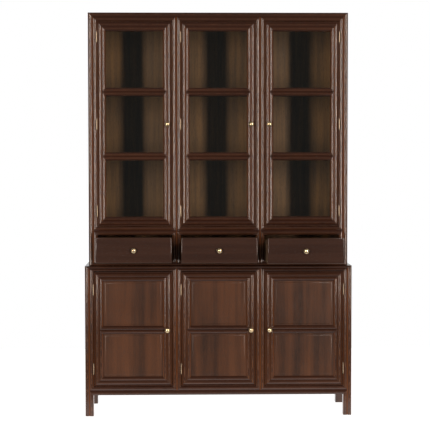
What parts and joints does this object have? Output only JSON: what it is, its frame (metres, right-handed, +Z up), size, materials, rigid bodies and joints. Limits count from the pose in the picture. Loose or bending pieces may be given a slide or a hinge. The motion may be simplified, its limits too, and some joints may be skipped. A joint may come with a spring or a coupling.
{
  "type": "china cabinet",
  "caption": "Tall china cabinet in dark stained wood: glazed hutch doors over a row of drawers and a panelled base on square legs, with reeded mouldings and brass knobs",
  "frame": {"origin": "on the floor, at the middle of the box that the cabinet fills with its drawers drawn out as at rest", "axes": "+X to the cabinet's right as seen from in front, +Y towards its back, +Z up; the doors and drawers face -Y"},
  "size_m": [1.5, 0.7288, 2.264],
  "materials": {
    "frame_wood": "dark stained hardwood, satin varnish",
    "panel_wood": "stained hardwood boards, satin varnish",
    "drawer_wood": "dark stained hardwood, satin varnish",
    "inside_wood": "stained board, low sheen",
    "brass": "polished, lightly aged",
    "glass": "clear float glass"
  },
  "bodies": {
    "cabinet": {"base_back": "inside_wood", "base_bottom": "frame_wood", "base_end_left": "frame_wood", "base_end_right": "frame_wood", "base_post_left": "frame_wood", "base_post_right": "frame_wood", "base_top": "frame_wood", "drawer_case": "frame_wood", "glazed_hinge_left_bottom": "brass", "glazed_hinge_left_middle": "brass", "glazed_hinge_left_top": "brass", "glazed_hinge_middle_bottom": "brass", "glazed_hinge_middle_middle": "brass", "glazed_hinge_middle_top": "brass", "glazed_hinge_right_bottom": "brass", "glazed_hinge_right_middle": "brass", "glazed_hinge_right_top": "brass", "hutch_back": "inside_wood", "hutch_deck": "frame_wood", "hutch_divider_left": "frame_wood", "hutch_divider_right": "frame_wood", "hutch_end_left": "frame_wood", "hutch_end_right": "frame_wood", "hutch_top": "frame_wood", "panel_hinge_left_bottom": "brass", "panel_hinge_left_top": "brass", "panel_hinge_middle_bottom": "brass", "panel_hinge_middle_top": "brass", "panel_hinge_right_bottom": "brass", "panel_hinge_right_top": "brass", "shelf_lower_left": "inside_wood", "shelf_lower_middle": "inside_wood", "shelf_lower_right": "inside_wood", "shelf_upper_left": "inside_wood", "shelf_upper_middle": "inside_wood", "shelf_upper_right": "inside_wood"},
    "left_glazed_door": {"glazed_frame_left": "frame_wood", "glass_left": "glass", "glazed_knob_left": "brass"},
    "left_panel_door": {"panel_frame_left": "frame_wood", "door_panel_left": "panel_wood", "panel_knob_left": "brass"},
    "left_drawer": {"drawer_left": "drawer_wood", "drawer_knob_left": "brass"},
    "middle_glazed_door": {"glazed_frame_middle": "frame_wood", "glass_middle": "glass", "glazed_knob_middle": "brass"},
    "middle_panel_door": {"panel_frame_middle": "frame_wood", "door_panel_middle": "panel_wood", "panel_knob_middle": "brass"},
    "middle_drawer": {"drawer_middle": "drawer_wood", "drawer_knob_middle": "brass"},
    "right_glazed_door": {"glazed_frame_right": "frame_wood", "glass_right": "glass", "glazed_knob_right": "brass"},
    "right_panel_door": {"panel_frame_right": "frame_wood", "door_panel_right": "panel_wood", "panel_knob_right": "brass"},
    "right_drawer": {"drawer_right": "drawer_wood", "drawer_knob_right": "brass"}
  },
  "joints": [
    {"name": "left_glazed_door_hinge", "type": "hinge", "parent": "cabinet", "child": "left_glazed_door", "pos_m": [-0.67925, -0.0608, 1.642], "axis": [0, 0, -1], "range_deg": [0, 110]},
    {"name": "left_panel_door_hinge", "type": "hinge", "parent": "cabinet", "child": "left_panel_door", "pos_m": [-0.70275, -0.0793, 0.4915], "axis": [0, 0, -1], "range_deg": [0, 110]},
    {"name": "left_drawer_slide", "type": "slide", "parent": "cabinet", "child": "left_drawer", "axis": [0, -1, 0], "range_m": [-0.2, 0.1]},
    {"name": "middle_glazed_door_hinge", "type": "hinge", "parent": "cabinet", "child": "middle_glazed_door", "pos_m": [-0.21075, -0.0608, 1.642], "axis": [0, 0, -1], "range_deg": [0, 110]},
    {"name": "middle_panel_door_hinge", "type": "hinge", "parent": "cabinet", "child": "middle_panel_door", "pos_m": [-0.21075, -0.0793, 0.4915], "axis": [0, 0, -1], "range_deg": [0, 110]},
    {"name": "middle_drawer_slide", "type": "slide", "parent": "cabinet", "child": "middle_drawer", "axis": [0, -1, 0], "range_m": [-0.22, 0.08]},
    {"name": "right_glazed_door_hinge", "type": "hinge", "parent": "cabinet", "child": "right_glazed_door", "pos_m": [0.67925, -0.0608, 1.642], "axis": [0, 0, 1], "range_deg": [0, 110]},
    {"name": "right_panel_door_hinge", "type": "hinge", "parent": "cabinet", "child": "right_panel_door", "pos_m": [0.70275, -0.0793, 0.4915], "axis": [0, 0, 1], "range_deg": [0, 110]},
    {"name": "right_drawer_slide", "type": "slide", "parent": "cabinet", "child": "right_drawer", "axis": [0, -1, 0], "range_m": [-0.28, 0.02]}
  ]
}
